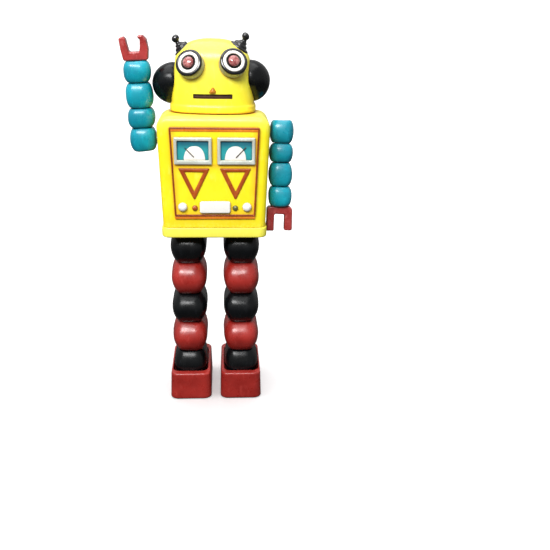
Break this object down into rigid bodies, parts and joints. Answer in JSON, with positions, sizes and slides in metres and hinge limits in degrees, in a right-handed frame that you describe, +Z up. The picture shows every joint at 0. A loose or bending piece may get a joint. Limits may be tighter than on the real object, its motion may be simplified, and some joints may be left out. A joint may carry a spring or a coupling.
{
  "type": "clockwork walking robot",
  "caption": "Tin wind-up walking robot with a boxy torso, domed head, round goggle eyes, beaded arms with gripper claws and beaded legs in block boots.",
  "frame": {"origin": "middle of the bounding box, on the surface that both soles stand on", "axes": "+Z up, -Y the way the robot faces, +X its left"},
  "size_m": [0.1348, 0.0722, 0.2994],
  "materials": {
    "yellow_tin": "satin",
    "printed_panel": "satin",
    "meter_frame": "satin",
    "white_plastic": "gloss",
    "lamp_orange": "gloss",
    "lamp_olive": "gloss",
    "black_gloss": "gloss",
    "pink_lens": "gloss",
    "teal_gloss": "gloss",
    "brick_red": "gloss",
    "steel": "brushed",
    "brass": "satin"
  },
  "bodies": {
    "torso": {"torso_shell": "yellow_tin", "back_cover": "yellow_tin", "base_pan": "yellow_tin", "chest_panel": "printed_panel", "meter_left": "meter_frame", "meter_right": "meter_frame", "knob_left": "white_plastic", "knob_right": "white_plastic", "lamp_red": "lamp_orange", "lamp_green": "lamp_olive", "chest_bar": "white_plastic", "neck_post": "steel", "motor_front_plate": "brass", "motor_back_plate": "brass", "mainspring": "steel", "hip_axle": "steel"},
    "head": {"head_shell": "yellow_tin", "mouth": "black_gloss", "ear_left": "black_gloss", "ear_right": "black_gloss", "antenna_left": "black_gloss", "antenna_right": "black_gloss", "eye_bezel_left": "black_gloss", "eye_bezel_right": "black_gloss", "eye_lens_left": "pink_lens", "eye_lens_right": "pink_lens"},
    "winding_arbor": {"winding_arbor": "steel", "winding_key": "steel"},
    "great_wheel": {"great_wheel": "brass", "click": "steel"},
    "crank_arbor": {"crank_arbor": "steel"},
    "governor": {"governor": "steel"},
    "walking_beam": {"walking_beam": "steel"},
    "left_arm": {"left_arm_rod": "steel", "left_arm_bead_1": "teal_gloss", "left_arm_bead_2": "teal_gloss", "left_arm_bead_3": "teal_gloss", "left_arm_bead_4": "teal_gloss", "left_claw": "brick_red"},
    "left_leg": {"left_leg_rod": "steel", "left_leg_bead_1": "black_gloss", "left_leg_bead_2": "brick_red", "left_leg_bead_3": "black_gloss", "left_leg_bead_4": "brick_red", "left_leg_bead_5": "black_gloss", "left_boot": "brick_red"},
    "right_arm": {"right_arm_rod": "steel", "right_arm_bead_1": "teal_gloss", "right_arm_bead_2": "teal_gloss", "right_arm_bead_3": "teal_gloss", "right_arm_bead_4": "teal_gloss", "right_claw": "brick_red"},
    "right_leg": {"right_leg_rod": "steel", "right_leg_bead_1": "black_gloss", "right_leg_bead_2": "brick_red", "right_leg_bead_3": "black_gloss", "right_leg_bead_4": "brick_red", "right_leg_bead_5": "black_gloss", "right_boot": "brick_red"}
  },
  "joints": [
    {"name": "head_swivel", "type": "hinge", "parent": "torso", "child": "head", "pos_m": [0.00285, -0.00359, 0.241], "axis": [0, 0, 1], "range_deg": [-45, 45]},
    {"name": "left_shoulder", "type": "hinge", "parent": "torso", "child": "left_arm", "pos_m": [0.05785, 0.00341, 0.2244], "axis": [0.9993, 0, -0.0369], "continuous": true},
    {"name": "right_shoulder", "type": "hinge", "parent": "torso", "child": "right_arm", "pos_m": [-0.05235, 0.00341, 0.2177], "axis": [-0.9993, 0, -0.0369], "continuous": true},
    {"name": "left_hip", "type": "hinge", "parent": "torso", "child": "left_leg", "pos_m": [0.02545, 0.00141, 0.156], "axis": [1, 0, 0], "range_deg": [-5, 5]},
    {"name": "right_hip", "type": "hinge", "parent": "torso", "child": "right_leg", "pos_m": [-0.01815, 0.00141, 0.156], "axis": [1, 0, 0], "range_deg": [-5, 5]},
    {"name": "walking_beam_pivot", "type": "hinge", "parent": "torso", "child": "walking_beam", "pos_m": [0.00365, -0.02539, 0.156], "axis": [0, 1, 0], "range_deg": [-6.17, 6.17]},
    {"name": "key_winding", "type": "hinge", "parent": "torso", "child": "winding_arbor", "pos_m": [0.00365, 0.00141, 0.198], "axis": [0, 1, 0], "continuous": true},
    {"name": "great_wheel_turn", "type": "hinge", "parent": "torso", "child": "great_wheel", "pos_m": [0.00365, -0.01019, 0.198], "axis": [0, 1, 0], "continuous": true},
    {"name": "crank_turn", "type": "hinge", "parent": "torso", "child": "crank_arbor", "pos_m": [0.00365, -0.01459, 0.17075], "axis": [0, 1, 0], "continuous": true},
    {"name": "governor_turn", "type": "hinge", "parent": "torso", "child": "governor", "pos_m": [0.0191, -0.01459, 0.17489], "axis": [0, 1, 0], "continuous": true}
  ],
  "couplings": [
    {"joint": "right_hip", "follows": "left_hip", "ratio": -1},
    {"joint": "walking_beam_pivot", "follows": "left_hip", "ratio": 1.2302},
    {"joint": "crank_turn", "follows": "great_wheel_turn", "ratio": -4},
    {"joint": "governor_turn", "follows": "great_wheel_turn", "ratio": 16}
  ]
}
